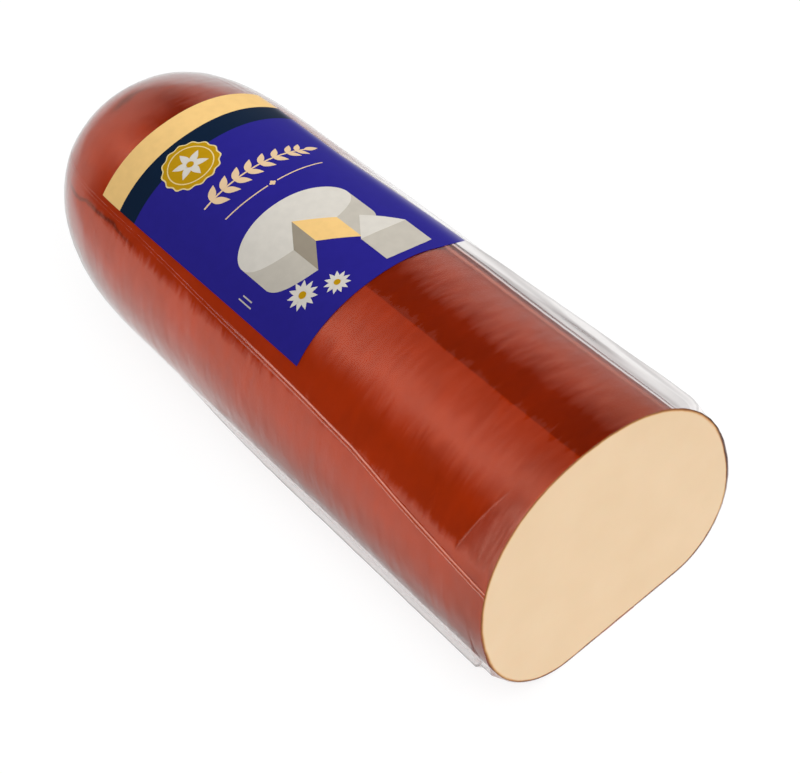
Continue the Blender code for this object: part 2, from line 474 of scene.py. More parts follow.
def tilted(tree, value, most, normal):
    """Return a normal tilted round the log's girth by a noise value, up to so many radians each way."""
    parts = add_node(tree, "SeparateXYZ", {"Vector": normal})
    turned = maths(tree, "MULTIPLY", parts.outputs["Y"], -1.0)
    girth = add_node(tree, "CombineXYZ", {"X": 0.0, "Y": parts.outputs["Z"], "Z": turned}).outputs["Vector"]
    amount = spread(tree, value, -most, most)
    step = add_node(tree, "VectorMath", {0: girth, "Scale": amount}, operation="SCALE").outputs["Vector"]
    bent = add_node(tree, "VectorMath", {0: normal, 1: step}, operation="ADD").outputs["Vector"]
    return add_node(tree, "VectorMath", {0: bent}, operation="NORMALIZE").outputs["Vector"]


def plain(red, green, blue):
    """Return a colour with full alpha for a socket."""
    return (red, green, blue, 1.0)


def make_floor():
    """A pale floor that glows a little, as a light table does, so that shadows stay faint."""
    material, tree = new_material("pale_floor")
    shader = add_node(tree, "BsdfPrincipled", {
        "Base Color": plain(0.22, 0.22, 0.22), "Roughness": 0.8, "Specular IOR Level": 0.1,
        "Emission Color": plain(1, 1, 1), "Emission Strength": 0.82,
    })
    add_node(tree, "OutputMaterial", {"Surface": shader.outputs["BSDF"]})
    half = 20.0
    corners = [(-half, -half, 0), (half, -half, 0), (half, half, 0), (-half, half, 0)]
    data = bpy.data.meshes.new("floor")
    data.from_pydata(corners, [], [(0, 1, 2, 3)])
    data.materials.append(material)
    floor = bpy.data.objects.new("floor", data)
    bpy.context.scene.collection.objects.link(floor)


# Studio surroundings: degrees from straight up towards the log's right, and how bright it is there
STUDIO = (
    (-180, 1.0), (-92, 1.0), (-82, 0.03), (-55, 0.02), (-46, 0.10), (-36, 0.45), (-22, 1.08),
    (-12, 0.95), (2, 0.48), (14, 0.24), (20.3, 0.22), (20.8, 0.01), (39, 0.03), (52, 0.55),
    (66, 1.05), (90, 1.2), (180, 1.0),
)


def make_studio():
    """White surroundings with dark strips, all lengthwise, that the film mirrors."""
    world = bpy.data.worlds.new("studio")
    bpy.context.scene.world = world
    world.use_nodes = True
    tree = world.node_tree
    tree.nodes.clear()
    direction = add_node(tree, "TexCoord").outputs["Generated"]
    parts = add_node(tree, "SeparateXYZ", {"Vector": direction})
    angle = maths(tree, "ARCTAN2", parts.outputs["Y"], parts.outputs["Z"])
    share = ranged(tree, angle, -math.pi, math.pi)
    stops = [((degrees + 180) / 360, (level,) * 3) for degrees, level in STUDIO]
    strips = colour_ramp(tree, share, stops)
    past_strips = ranged(tree, parts.outputs["X"], -0.92, -0.78, 1.0, 0.0, smooth_step=True)
    sky = mixed(tree, past_strips, strips, plain(1, 1, 1), "LIGHTEN")
    light = add_node(tree, "Background", {"Color": sky, "Strength": 1.0})
    add_node(tree, "OutputWorld", {"Surface": light.outputs["Background"]})


def make_lights():
    """One broad soft light from above the cut end, outside what the film mirrors to the camera."""
    data = bpy.data.lights.new("key", "SUN")
    data.energy = 1.75
    data.angle = math.radians(60)
    light = bpy.data.objects.new("key", data)
    towards = Vector((0.55, -0.15, 0.82))
    light.rotation_euler = towards.to_track_quat("Z", "Y").to_euler()
    bpy.context.scene.collection.objects.link(light)


def make_camera():
    """The photograph's own view of the log."""
    data = bpy.data.cameras.new("camera")
    data.sensor_width = SENSOR_WIDTH
    data.lens = FOCAL_PIXELS / IMAGE_WIDTH * SENSOR_WIDTH
    data.clip_start = 0.01
    data.clip_end = 100.0
    camera = bpy.data.objects.new("camera", data)
    turned = Matrix.Rotation(CAMERA_AZIMUTH, 4, "Z")
    raised = Matrix.Rotation(math.pi / 2 - CAMERA_ELEVATION, 4, "X")
    rolled = Matrix.Rotation(CAMERA_ROLL, 4, "Z")
    rotation = turned @ raised @ rolled
    back = rotation.to_3x3() @ Vector((0, 0, 1))
    camera.matrix_world = Matrix.Translation(CAMERA_TARGET + back * CAMERA_DISTANCE) @ rotation
    bpy.context.scene.collection.objects.link(camera)
    bpy.context.scene.camera = camera


def surface_value(tree, name):
    """Return the socket of a number that each point of a mesh holds."""
    return add_node(tree, "Attribute", attribute_name=name).outputs["Fac"]


def surface_places(tree):
    """Return the sockets of a piece's places: millimetres behind the cut, and lean in degrees."""
    return surface_value(tree, "behind_mm"), surface_value(tree, "lean_degrees")


def object_place(tree):
    """Return the X, Y and Z sockets of a piece's own coordinates, in metres."""
    place = add_node(tree, "TexCoord").outputs["Object"]
    return add_node(tree, "SeparateXYZ", {"Vector": place}).outputs


def shader_mix(tree, share, first, second):
    """Return the socket of a blend of two shaders."""
    return add_node(tree, "MixShader", {0: share, 1: first, 2: second}).outputs["Shader"]


def hump(tree, value, centre, half_width):
    """Return 1 where the value is at the centre, falling to 0 at the half width."""
    distance = maths(tree, "ABSOLUTE", minus(tree, value, centre))
    return ranged(tree, distance, 0.0, half_width, 1.0, 0.0, smooth_step=True)


def between(tree, value, low, high, edge):
    """Return 1 between two values, with soft edges."""
    rise = ranged(tree, value, low - edge / 2, low + edge / 2, smooth_step=True)
    fall = ranged(tree, value, high - edge / 2, high + edge / 2, 1.0, 0.0, smooth_step=True)
    return product(tree, rise, fall)


def grey(tree, value):
    """Return a colour whose three channels are the value."""
    return add_node(tree, "CombineColor", {0: value, 1: value, 2: value}).outputs["Color"]


TONE_STEP_LEAN = -2.0  # where the rind's tone steps along the crown, from lighter on the left to darker on the right
RIND_LEFT = (0.425, 0.0310, 0.0022)
RIND_RIGHT = (0.268, 0.0165, 0.0008)
RIND_DEEP = (0.080, 0.0080, 0.0040)


def girthwise_field(tree):
    """Return the fine noise, drawn out round the girth, that the rind and the film share."""
    across = stretched(tree, (520, 75, 75))
    return noise_field(tree, across, 1.0, detail=3, roughness=0.6, distortion=0.4)


def rind_material():
    """Smoked rind: mottled mahogany with a warm, satin sheen."""
    material, tree = new_material("smoked_rind")
    behind, lean = surface_places(tree)
    even = stretched(tree, (1, 1, 1))
    clouds = noise_field(tree, even, 42, detail=3, roughness=0.55)
    along = stretched(tree, (1.6, 1, 1))
    blotches = noise_field(tree, along, 150, detail=4, roughness=0.6, distortion=0.5)
    girthwise = girthwise_field(tree)
    # The rind is lighter left of the crown than right of it; the step is sharp along the label and spreads
    # wide over the rounded end.
    tone_step_blur = ranged(tree, behind, 212.0, 245.0, 0.25, 9.0)
    side = ranged(tree, lean, minus(tree, TONE_STEP_LEAN, tone_step_blur), plus(tree, TONE_STEP_LEAN, tone_step_blur))
    tone = mixed(tree, side, plain(*RIND_LEFT), plain(*RIND_RIGHT))
    tone = tinted(tree, tone, spread(tree, clouds, 0.90, 1.10))
    tone = tinted(tree, tone, spread(tree, blotches, 0.93, 1.08))
    # Painted shade: the rind's colour is darkened down the lower left flank and towards the right flank,
    # where less light falls; it is also darker near the cut and over the rounded end.
    left_flank_shade = ranged(tree, lean, -105.0, -66.0, 0.38, 1.0, smooth_step=True)
    right_flank_shade = ranged(tree, lean, 12.0, 55.0, 1.0, 0.60, smooth_step=True)
    near_cut = ranged(tree, behind, 1.0, 24.0, 0.80, 1.0, smooth_step=True)
    far_end = ranged(tree, behind, 215.0, 255.0, 1.0, 0.80, smooth_step=True)
    tone = tinted(tree, tone, product(tree, left_flank_shade, right_flank_shade, near_cut, far_end))

    wander = spread(tree, clouds, -3.0, 3.0)
    wandering_lean = plus(tree, lean, wander)
    fold = product(tree, hump(tree, wandering_lean, -52.0, 2.0), between(tree, behind, 205, 252, 22))
    bruise_along = hump(tree, plus(tree, behind, wander), 253.0, 4.0)
    bruise = product(tree, bruise_along, hump(tree, wandering_lean, -3.0, 11.0))
    dark = maths(tree, "MAXIMUM", product(tree, fold, 0.75), product(tree, bruise, 0.95))
    tone = mixed(tree, dark, tone, plain(*RIND_DEEP))

    relief = bump(tree, blotches, 0.02, 0.0004)
    relief = tilted(tree, girthwise, 0.05, relief)
    body = add_node(tree, "BsdfPrincipled", {
        "Base Color": tone, "Roughness": 0.5, "Specular IOR Level": 0.03, "Normal": relief,
    })
    sheen = add_node(tree, "BsdfGlossy", {
        "Color": plain(0.95, 0.15, 0.012), "Roughness": 0.14, "Normal": relief,
    })
    share = spread(tree, blotches, 0.12, 0.17)
    both = shader_mix(tree, share, body.outputs["BSDF"], sheen.outputs["BSDF"])
    add_node(tree, "OutputMaterial", {"Surface": both})
    return material


def paste_material():
    """The pale cut face, with the rind as a thin brown line at its rim, painted darker along the bottom and
    the right as shade.
    """
    material, tree = new_material("cut_cheese")
    even = stretched(tree, (1, 1, 1))
    depth = surface_value(tree, "rim_depth")
    wobble = noise_field(tree, even, 210, detail=3)
    depth = plus(tree, depth, spread(tree, wobble, -0.12, 0.12))
    clouds = noise_field(tree, even, 45, detail=3, roughness=0.55)
    fine = noise_field(tree, even, 420, detail=3)
    cream = colour_ramp(tree, clouds, ((0.3, (0.765, 0.552, 0.340)), (0.7, (0.795, 0.585, 0.372))))
    share = ranged(tree, depth, 0.0, 2.0)
    ochre_rind = colour_ramp(tree, share, (
        (0.0, (0.22, 0.070, 0.014)), (0.16, (0.36, 0.150, 0.036)), (0.28, (0.60, 0.31, 0.11)),
        (0.40, (0.74, 0.49, 0.27)), (0.60, (0.775, 0.56, 0.345)),
    ))
    rind_in_painted_shade = colour_ramp(tree, share, (
        (0.0, (0.030, 0.010, 0.005)), (0.24, (0.10, 0.026, 0.008)), (0.36, (0.36, 0.13, 0.040)),
        (0.48, (0.68, 0.40, 0.19)), (0.68, (0.775, 0.56, 0.345)),
    ))
    # Painted shade: the rind line at the rim is drawn darker along the bottom and the right, as if in
    # shadow.
    place = object_place(tree)
    low = ranged(tree, place["Z"], 0.004, 0.016, 1.0, 0.0, smooth_step=True)
    far = ranged(tree, place["Y"], 0.0470, 0.0492, smooth_step=True)
    rind = mixed(tree, maths(tree, "MAXIMUM", low, far), ochre_rind, rind_in_painted_shade)
    inside = ranged(tree, depth, 0.75, 1.3, smooth_step=True)
    colour = mixed(tree, inside, rind, cream)
    relief = bump(tree, fine, 0.10, 0.0003)
    body = add_node(tree, "BsdfPrincipled", {
        "Base Color": colour, "Roughness": 0.45, "Specular IOR Level": 0.25, "Normal": relief,
        "Subsurface Weight": 0.10, "Subsurface Scale": 0.003,
    })
    add_node(tree, "OutputMaterial", {"Surface": body.outputs["BSDF"]})
    return material


FILM_HEAD_ON = 0.04  # share of light that one film surface mirrors head on
# The film is slack in a corner by the cut, up to a slanting fold, in degrees and millimetres
SLACK_CORNER_LEAN = -51.0
SLACK_CORNER_BEHIND = 14.5
SLACK_CORNER_SLOPE = -0.214


def film_material():
    """Clear film: see-through head on and mirror-bright at a glance, more so where it hangs loose."""
    material, tree = new_material("clear_film")
    behind, lean = surface_places(tree)
    surfaces = surface_value(tree, "mirror_layers")
    haze_and_highlights = surface_value(tree, "haze_and_highlights")
    girthwise = girthwise_field(tree)
    slack = noise_field(tree, stretched(tree, (1, 1, 1)), 170, detail=2)
    relief = bump(tree, slack, 0.03, 0.0006)
    relief = tilted(tree, girthwise, 0.035, relief)
    facing = add_node(tree, "LayerWeight", {"Blend": 0.5, "Normal": relief}).outputs["Facing"]
    glance = maths(tree, "POWER", facing, 5.0)
    passed = ranged(tree, glance, 0.0, 1.0, 1.0 - FILM_HEAD_ON, 0.0)
    mirrored = minus(tree, 1.0, maths(tree, "POWER", passed, surfaces))

    # Painted reflection: the slack corner by the cut is brightened with milky white, and a painted
    # highlight runs along its slanting fold.
    slant = product(tree, minus(tree, lean, SLACK_CORNER_LEAN), SLACK_CORNER_SLOPE)
    line = minus(tree, behind, plus(tree, slant, SLACK_CORNER_BEHIND))
    line = plus(tree, line, spread(tree, girthwise, -0.25, 0.25))
    across = between(tree, lean, -54.0, -26.0, 9.0)
    patchy = ranged(tree, girthwise, 0.35, 0.65, 0.4, 1.0)
    this_side = maths(tree, "LESS_THAN", line, 0.1)
    slack_corner_reflection = product(tree, ranged(tree, line, -9.0, 0.1, 0.20, 0.05), across, patchy, this_side)
    slack_fold_highlight = product(tree, hump(tree, line, 0.0, 0.6), across, 0.10)
    haze_and_painted_light = plus(tree, haze_and_highlights, plus(tree, slack_corner_reflection, slack_fold_highlight))
    dome = ranged(tree, behind, 205.0, 240.0)
    # Painted sheen: milky white is added towards the silhouette over the rounded end.
    dome_rim_sheen = product(tree, ranged(tree, facing, 0.59, 0.90, 0.0, 0.34), dome)
    haze_and_painted_light = plus(tree, haze_and_painted_light, dome_rim_sheen)

    off_dome = ranged(tree, behind, 214.0, 235.0, 1.0, 0.0)
    warm = product(tree, between(tree, lean, -72.0, 36.0, 4.0), off_dome)
    cloud_colour = mixed(tree, warm, plain(0.98, 0.95, 0.94), plain(0.95, 0.36, 0.26))
    tip = surface_value(tree, "crest_line")
    cloud_colour = mixed(tree, product(tree, tip, 0.62), cloud_colour, plain(0.30, 0.30, 0.29))
    clear = add_node(tree, "BsdfTransparent", {"Color": plain(0.985, 0.985, 0.985)})
    milky = add_node(tree, "BsdfDiffuse", {"Color": cloud_colour})
    sheet = shader_mix(tree, haze_and_painted_light, clear.outputs["BSDF"], milky.outputs["BSDF"])
    # Painted shade on the mirrored light: it is dimmed at the outermost edge, near the cut on the right,
    # over the low left flank, along the crest lines and over the rounded end.
    by_cut = ranged(tree, behind, 4.0, 60.0, 0.34, 0.0)
    right_dim = product(tree, between(tree, lean, 14.0, 36.0, 12.0), by_cut)
    to_label = ranged(tree, behind, 100.0, 150.0, 0.42, 0.10)
    left_dim = product(tree, hump(tree, lean, -82.0, 22.0), to_label)
    reflection_shade = ranged(tree, glance, 0.78, 1.0, 1.0, 0.62)
    reflection_shade = minus(tree, reflection_shade, plus(tree, right_dim, left_dim))
    crest_reflection_shade = minus(tree, 1.0, product(tree, tip, 0.30))
    reflection_shade = product(tree, reflection_shade, crest_reflection_shade, ranged(tree, dome, 0.0, 1.0, 1.0, 0.80))
    gloss = add_node(tree, "BsdfGlossy", {
        "Color": grey(tree, reflection_shade), "Roughness": 0.04, "Normal": relief,
    })
    both = shader_mix(tree, mirrored, sheet, gloss.outputs["BSDF"])
    add_node(tree, "OutputMaterial", {"Surface": both})
    return material


LABEL_LEFT_SHADE = 0.76  # how dark the print is painted at the label's left, as shade


def print_material(name, colour):
    """One flat printed colour on satin paper, painted darker towards the label's left as shade, with a
    painted sheen along its right edge.
    """
    material, tree = new_material(name)
    even = stretched(tree, (1, 1, 1))
    mottle = noise_field(tree, even, 260, detail=3)
    fibres = noise_field(tree, stretched(tree, (1500, 5200, 5200)), 1.0, detail=2)
    # Painted shade: the print is darker towards the label's left.
    depth = ranged(tree, object_place(tree)["Y"], -0.036, 0.012, LABEL_LEFT_SHADE, 1.0, smooth_step=True)
    depth = product(tree, depth, ranged(tree, mottle, 0.35, 0.65, 0.97, 1.02))
    tone = tinted(tree, plain(*colour), depth)
    # Painted sheen: the print is lightened towards pale lilac along the label's right edge.
    glare = surface_value(tree, "edge_glare")
    tone = mixed(tree, product(tree, glare, 0.42), tone, plain(0.72, 0.70, 0.80))
    relief = bump(tree, fibres, 0.06, 0.00008)
    body = add_node(tree, "BsdfPrincipled", {
        "Base Color": tone, "Roughness": 0.62, "Specular IOR Level": 0.04, "Normal": relief,
    })
    add_node(tree, "OutputMaterial", {"Surface": body.outputs["BSDF"]})
    return material


def set_values(piece, name, values):
    """Give each point of a piece's mesh one number for its material."""
    attribute = piece.data.attributes.new(name, "FLOAT", "POINT")
    attribute.data.foreach_set("value", np.asarray(values, dtype=np.float32))


FACE_CENTRE_Z = 0.041
RIM_DEPTHS = (0.0, 0.0002, 0.0004, 0.0006, 0.0008, 0.0010, 0.0013, 0.0017, 0.0022, 0.003, 0.005, 0.008)
RIM_ROUNDING = 0.0002


def make_cheese():
    """The cheese: a rind-covered side grid, a rounded rim and a cut face in rings."""
    turns = np.linspace(-math.pi, math.pi, 241)
    rows = length_rows(0.00125, 30)
    behind, turn = np.meshgrid(rows, turns, indexing="ij")
    points = skin(behind, turn, CHEESE_SKIN, loose=False)
    points = points + grid_normals(points, closed=True) * cling_relief(behind, turn)[..., None]
    points[0, :, 0] -= RIM_ROUNDING
    columns = len(turns)
    side_count = len(rows) * columns
    vertices = [points.reshape(-1, 3), end_tip(CHEESE_SKIN)[None]]
    faces = grid_faces(len(rows), columns, closed=True)
    faces += fan_faces(side_count - columns, columns, side_count)
    side_faces = len(faces)

    outline = skin(np.zeros_like(turns), turns, CHEESE_SKIN, loose=False)
    middle = np.array([CUT_X, 0.0, FACE_CENTRE_Z + BASE_LIFT])
    reach = np.linalg.norm(outline - middle, axis=1)
    shares = [(RIM_ROUNDING + depth) / HALF_WIDTH for depth in RIM_DEPTHS]
    shares += list(np.linspace(0.24, 0.94, 12))
    depths = []
    first_ring = side_count + 1
    for share in shares:
        ring = outline + (middle - outline) * share
        knife_marks = np.sin(ring[:, 2] / 0.0021 + 2 * np.sin(ring[:, 1] / 0.013))
        ring[:, 0] += 0.00004 * knife_marks * min(share * 8, 1)
        vertices.append(ring)
        depths.append(reach * share * 1000)
    vertices.append(middle[None])
    ring_faces = grid_faces(len(shares), columns, closed=True, first=first_ring, flip=True)
    last_ring = first_ring + (len(shares) - 1) * columns
    ring_faces += fan_faces(last_ring, columns, last_ring + columns, flip=True)
    faces += ring_faces + rim_faces(columns, first_ring)
    vertices = np.concatenate(vertices)
    piece = make_piece("cheese_body", vertices, faces, (rind_material(), paste_material()),
                       sharp_degrees=50)
    material_index = np.zeros(len(faces), dtype=np.int32)
    material_index[side_faces:] = 1
    piece.data.polygons.foreach_set("material_index", material_index)
    rim_depth = np.full(len(vertices), 40.0)
    rim_depth[:side_count + 1] = 0.0
    rim_depth[first_ring:last_ring + columns] = np.concatenate(depths)
    set_values(piece, "rim_depth", rim_depth)
    behind_mm = np.zeros(len(vertices))
    behind_mm[:side_count] = behind.ravel() * 1000
    behind_mm[side_count] = LENGTH * 1000
    set_values(piece, "behind_mm", behind_mm)
    lean = np.zeros(len(vertices))
    lean[:side_count] = lean_at(turn).ravel()
    set_values(piece, "lean_degrees", lean)
    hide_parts("cheese")


# The lengthwise pair of creases on the film's left: metres behind the cut, and lean in degrees
CREASE_PATH = ((0.0, -63.4), (0.035, -58.6), (0.068, -53.0), (0.098, -51.0), (0.139, -49.0), (0.202, -45.0))
CREASE_GAP = 0.0013
CREASE_HALF_WIDTH = 0.00030
CREASE_HEIGHT = 0.00020
CREASE_BAND = 0.0022
# Where the film leaves the rind on the right shoulder: metres behind the cut, and lean in degrees
LOOSE_PATH = ((0.0, 38.3), (0.050, 38.1), (0.098, 36.8), (0.150, 37.6), (0.200, 38.2))
LOOSE_LINES = (-0.0030, -0.0004)  # the pale double line, in metres past it
LOOSE_LINE_HALF_WIDTH = 0.00050
LOOSE_LINE_HEIGHT = 0.00007
LOOSE_BAND = 0.0020
CREST_BAND = 0.0016
# Heights of the film's slack, its streaks and its lowest places
LOOSE_LIFT = 0.00004
STREAK_HEIGHT = 0.00005
SLACK_HEIGHT = 0.00003
LOWEST_RELIEF = -0.00003
# Shares of milkiness; at the creases it is a painted highlight
CREASE_HIGHLIGHTS = (0.36, 0.85)
LOOSE_LINE_HAZE = 0.72
SHOULDER_HAZE = 0.52
CREST_HAZE = 0.35
LEFT_HAZE = 0.58
MOST_HAZE = 0.92


def path_turn(behind, path):
    """Return the turns that a path of (behind the cut, lean) has at places behind the cut."""
    places, leans = zip(*path)
    return turn_at(np.interp(behind, places, leans))


def past_path(behind, turn, path):
    """Return how far round the log, in metres, places lie past a path."""
    return (turn - path_turn(behind, path)) * HALF_WIDTH


def film_grid():
    """Return the film's places behind the cut and turns: finer at the crests, and along the creases."""
    rows = length_rows(0.0015, 30)
    rows = np.sort(np.concatenate([rows, [0.0007, 0.0053, 0.0057, 0.0063, 0.0067]]))
    crease_reach = CREASE_BAND / HALF_WIDTH
    crest_reach = CREST_BAND / HALF_WIDTH
    loose_reach = LOOSE_BAND / HALF_WIDTH
    grid = []
    paths = (path_turn(rows, CREASE_PATH), path_turn(rows, LOOSE_PATH), right_crest_turn(rows))
    for crease, loose, crest in zip(*paths):
        marks = (
            (-math.pi, 28), (math.radians(-118), 24), (LEFT_CREST_TURN, 22), (math.radians(-98), 16),
            (crease - crease_reach, 28), (crease + crease_reach, 52), (loose - loose_reach, 24),
            (loose + loose_reach, 12), (crest - crest_reach, 10), (crest, 10), (crest + crest_reach, 30),
            (math.radians(100), 28), (math.pi, 1),
        )
        parts = [np.linspace(start, end, count, endpoint=False)
                 for (start, count), (end, _) in zip(marks, marks[1:])]
        grid.append(np.concatenate(parts + [[math.pi]]))
    turns = np.array(grid)
    return np.repeat(rows[:, None], turns.shape[1], axis=1), turns


def film_relief(behind, turn):
    """Return how far the film lifts off the clinging surface: slack, creases and fine lengthwise lines."""
    around = turn * HALF_WIDTH
    lean = lean_at(turn)
    streaks = wavy(STREAK_WAVES, behind, around)
    from_edge = past_path(behind, turn, LOOSE_PATH)
    loose = smooth(from_edge, -0.0006, 0.0006)
    relief = LOOSE_LIFT * loose + STREAK_HEIGHT * loose * streaks
    for place in LOOSE_LINES:
        relief = relief + LOOSE_LINE_HEIGHT * ridge(from_edge - place, LOOSE_LINE_HALF_WIDTH)
    off_base = math.pi - np.abs(turn)
    low_left = smooth(-lean, 52.0, 60.0) * smooth(off_base, math.radians(20), math.radians(60))
    relief = relief + SLACK_HEIGHT * low_left * wavy(SLACK_WAVES, behind, around)
    from_crease = past_path(behind, turn, CREASE_PATH)
    along_crease = 1 - 0.7 * smooth(behind, 0.110, 0.170)
    for side, height in ((-1, 0.8), (1, 1.2)):
        crease = ridge(from_crease - side * CREASE_GAP / 2, CREASE_HALF_WIDTH)
        relief = relief + CREASE_HEIGHT * height * crease * along_crease
    off_label = 1 - label_cover(behind, turn)
    clear_of_base = smooth(off_base, math.radians(8), math.radians(50))
    return np.maximum(relief * off_label * clear_of_base, LOWEST_RELIEF)


def label_right_turn(behind):
    """Return the turn of the label's right edge, which slants a little."""
    share = ramp(behind, LABEL_FROM_CUT, LABEL_FROM_CUT + LABEL_LENGTH)
    return LABEL_RIGHT_TURN_NEAR + (LABEL_RIGHT_TURN_FAR - LABEL_RIGHT_TURN_NEAR) * share


def label_cover(behind, turn):
    """Return 1 where the label covers the film, and 0 from a millimetre or two outside it."""
    along = smooth(behind, LABEL_FROM_CUT - 0.002, LABEL_FROM_CUT)
    along = along * fade(behind, LABEL_FROM_CUT + LABEL_LENGTH, LABEL_FROM_CUT + LABEL_LENGTH + 0.002)
    edge = 0.001 / HALF_WIDTH
    across = smooth(turn, LABEL_LEFT_TURN - edge, LABEL_LEFT_TURN)
    right = label_right_turn(behind)
    return along * across * fade(turn, right, right + edge)


def mirror_layers(behind, turn):
    """Return how many mirroring surfaces the film's inside adds: none where it clings."""
    from_edge = past_path(behind, turn, LOOSE_PATH)
    near_cut = fade(behind, 0.110, 0.200)
    drawing_off = 0.25 * smooth(from_edge, -0.016, -0.001)
    loose = 2.0 * smooth(from_edge, -0.0003, 0.0003)
    right = (drawing_off + loose) * fade(lean_at(turn), 75.0, 110.0) * near_cut
    left = smooth(lift(behind, turn), 0.0001, 0.0005)
    return np.where(turn > 0, right, left)


def film_haze(behind, turn):
    """Return the film's milkiness where it leaves the rind and along its crests, and the painted highlight
    along its creases.
    """
    from_crease = past_path(behind, turn, CREASE_PATH)
    along_crease = fade(behind, 0.105, 0.150)
    haze_and_highlights = np.zeros(turn.shape)
    # Painted highlight: a milky line along each crease.
    for side, strength in zip((-1, 1), CREASE_HIGHLIGHTS):
        crease = ridge(from_crease - side * CREASE_GAP / 2, CREASE_HALF_WIDTH)
        haze_and_highlights = haze_and_highlights + strength * crease * along_crease
    from_edge = past_path(behind, turn, LOOSE_PATH)
    beside_label = fade(behind, 0.104, 0.112)
    for place in LOOSE_LINES:
        haze_and_highlights = haze_and_highlights + LOOSE_LINE_HAZE * ridge(from_edge - place, LOOSE_LINE_HALF_WIDTH) * beside_label
    streaks = 1 + 0.25 * wavy(STREAK_WAVES, behind, turn * HALF_WIDTH)
    shoulder = (turn > 0) * fade(behind, 0.10, 0.20)
    haze_and_highlights = haze_and_highlights + SHOULDER_HAZE * smooth(from_edge, 0.0007, 0.0012) * streaks * shoulder
    from_crest = (turn - right_crest_turn(behind)) * HALF_WIDTH
    beside_crest = (turn > 0) * fade(behind, 0.12, 0.16)
    haze_and_highlights = haze_and_highlights + CREST_HAZE * smooth(from_crest, -0.0050, -0.0035) * beside_crest
    haze_and_highlights = haze_and_highlights + LEFT_HAZE * smooth(lift(behind, turn), 0.0002, 0.0018) * (turn < 0)
    return np.clip(haze_and_highlights, 0, MOST_HAZE)


def crest_line(behind, turn):
    """Return 1 along the crests' outer lines, which show grey, and 0 elsewhere."""
    from_right = (turn - right_crest_turn(behind)) * HALF_WIDTH
    right = smooth(from_right, -0.0010, -0.0005) * fade(from_right, 0.0002, 0.0010)
    right = 0.35 * right * fade(behind, 0.095, 0.105)
    from_left = (turn - LEFT_CREST_TURN) * HALF_WIDTH
    left = fade(from_left, 0.0010, 0.0018) * smooth(from_left, -0.0012, -0.0004)
    return np.maximum(right, left * (left_crest_height(behind) > 0.0004))


def make_film():
    """The film: a thin closed shell round the cheese, open at the cut."""
    behind, turns = film_grid()
    base = skin(behind, turns, FILM_SKIN, loose=True)
    normals = grid_normals(base, closed=True)
    relief = film_relief(behind, turns) + cling_relief(behind, turns)
    inner = base + normals * relief[..., None]
    outer = inner + normals * FILM_THICKNESS
    rows, columns = turns.shape
    count = rows * columns
    vertices = np.concatenate([
        outer.reshape(-1, 3), inner.reshape(-1, 3),
        end_tip(FILM_SKIN + FILM_THICKNESS)[None], end_tip(FILM_SKIN)[None],
    ])
    faces = grid_faces(rows, columns, closed=True)
    faces += grid_faces(rows, columns, closed=True, first=count, flip=True)
    faces += fan_faces(count - columns, columns, 2 * count)
    faces += fan_faces(2 * count - columns, columns, 2 * count + 1, flip=True)
    faces += rim_faces(columns, count)
    piece = make_piece("film_wrap", vertices, faces, (film_material(),), sharp_degrees=60)
    line = crest_line(behind, turns)
    lean = lean_at(turns)
    for name, outside, inside, ends in (
        ("mirror_layers", np.ones(count), mirror_layers(behind, turns), (1.0, 0.0)),
        ("haze_and_highlights", film_haze(behind, turns), np.zeros(count), (0.0, 0.0)),
        ("crest_line", line, line, (0.0, 0.0)),
        ("behind_mm", behind * 1000, behind * 1000, (LENGTH * 1000, LENGTH * 1000)),
        ("lean_degrees", lean, lean, (0.0, 0.0)),
    ):
        set_values(piece, name, np.concatenate([outside.ravel(), inside.ravel(), ends]))
    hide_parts("film")


# The label's print. Places on it are (across from the crown, up from the edge nearer the cut).
EDGE_GLARE_REACH = 0.0013  # how far the sheen along the label's right edge fades in
CREAM_BAND = 0.0125
NAVY_BAND = 0.0100
LABEL_COLOURS = {
    "cream": (1.00, 0.655, 0.250),
    "navy": (0.0025, 0.0140, 0.0400),
    "blue": (0.0225, 0.0165, 0.270),
    "gold": (0.56, 0.31, 0.003),
    "pale_gold": (0.87, 0.70, 0.33),
    "milk": (0.60, 0.555, 0.48),
    "milk_light": (0.76, 0.72, 0.65),
    "milk_shade": (0.36, 0.31, 0.24),
    "ivory": (0.86, 0.62, 0.38),
}


def arc_table():
    """Return turns and the arc length from the crown to each, over the film."""
    turns = np.linspace(-math.pi / 2, math.pi / 2, 721)
    points = skin(np.full_like(turns, LABEL_FROM_CUT), turns, LABEL_SKIN, loose=True)
    steps = np.linalg.norm(np.diff(points, axis=0), axis=1)
    arcs = np.concatenate([[0], np.cumsum(steps)])
    return turns, arcs - np.interp(0, turns, arcs)


ARC_TURNS, ARC_LENGTHS = arc_table()


def label_points(up, across, height):
    """Return 3-D points for places on the label, at heights above its underside."""
    turn = np.interp(across, ARC_LENGTHS, ARC_TURNS)
    behind = LABEL_FROM_CUT + np.asarray(up)
    points = skin(behind, turn, LABEL_SKIN, loose=True)
    normal_y, normal_z = section_normals(turn)
    points[..., 1] += normal_y * height
    points[..., 2] += normal_z * height
    return points


